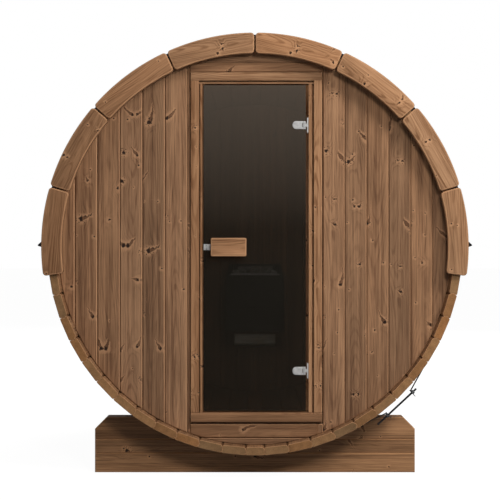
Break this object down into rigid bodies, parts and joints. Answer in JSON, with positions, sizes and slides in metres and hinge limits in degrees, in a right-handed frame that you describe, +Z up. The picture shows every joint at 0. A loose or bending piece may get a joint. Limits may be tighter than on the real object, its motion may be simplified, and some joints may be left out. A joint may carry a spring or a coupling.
{
  "type": "barrel sauna",
  "caption": "Outdoor barrel sauna: a round stave barrel on two cradles, with a glass door, board arches, a shingle cover, steel hoops and an electric heater inside.",
  "frame": {"origin": "On the floor under the middle of the barrel, at the bottom centre of the bounding box.", "axes": "+Z up. The front wall with the door faces -Y, and the barrel's centre line runs along Y. +X is to the right seen from the front."},
  "size_m": [2.092, 2.46, 2.1589],
  "materials": {
    "stave_wood": "planed heat-treated softwood",
    "wall_wood": "planed heat-treated boards",
    "trim_wood": "smooth heat-treated trim boards",
    "cradle_wood": "planed dark heat-treated planks",
    "shingle": "black mineral-coated bitumen shingle",
    "drip_metal": "black coated sheet metal",
    "vent_metal": "pale coated aluminium louvres",
    "steel": "satin stainless steel",
    "rod_steel": "blackened threaded steel",
    "tinted_glass": "grey tinted toughened glass",
    "heater_metal": "dark painted sheet steel",
    "stone": "broken heater stones"
  },
  "bodies": {
    "body": {"shell_top": "stave_wood", "shell_upper_right": "stave_wood", "shell_lower_right": "stave_wood", "shell_bottom": "stave_wood", "shell_lower_left": "stave_wood", "shell_upper_left": "stave_wood", "front_wall_left": "wall_wood", "front_wall_right": "wall_wood", "front_wall_above_door": "wall_wood", "front_wall_below_door": "wall_wood", "back_wall_upper": "wall_wood", "back_wall_lower": "wall_wood", "vent_grille": "vent_metal", "door_frame_head": "trim_wood", "door_frame_left": "trim_wood", "door_frame_right": "trim_wood", "door_sill": "trim_wood", "hinge_plate_upper": "steel", "hinge_plate_lower": "steel", "front_arch_1": "trim_wood", "front_arch_2": "trim_wood", "front_arch_3": "trim_wood", "front_arch_4": "trim_wood", "front_arch_5": "trim_wood", "front_arch_6": "trim_wood", "front_arch_7": "trim_wood", "front_arch_8": "trim_wood", "rear_arch_left": "trim_wood", "rear_arch_right": "trim_wood", "roof_cover_left": "shingle", "roof_cover_right": "shingle", "drip_edge_left": "drip_metal", "drip_edge_right": "drip_metal", "front_hoop": "steel", "rear_hoop": "steel", "front_tension_rod": "rod_steel", "rear_tension_rod": "rod_steel", "front_cradle": "cradle_wood", "rear_cradle": "cradle_wood", "heater_body": "heater_metal", "heater_stones": "stone"},
    "door": {"door_glass": "tinted_glass", "hinge_clamp_upper": "steel", "hinge_clamp_lower": "steel", "handle_outside": "trim_wood", "handle_inside": "trim_wood", "catch_strap": "steel"}
  },
  "joints": [
    {"name": "door_hinge", "type": "hinge", "parent": "body", "child": "door", "pos_m": [0.24, -1.13, 1.126], "axis": [0, 0, 1], "range_deg": [0, 100]}
  ]
}
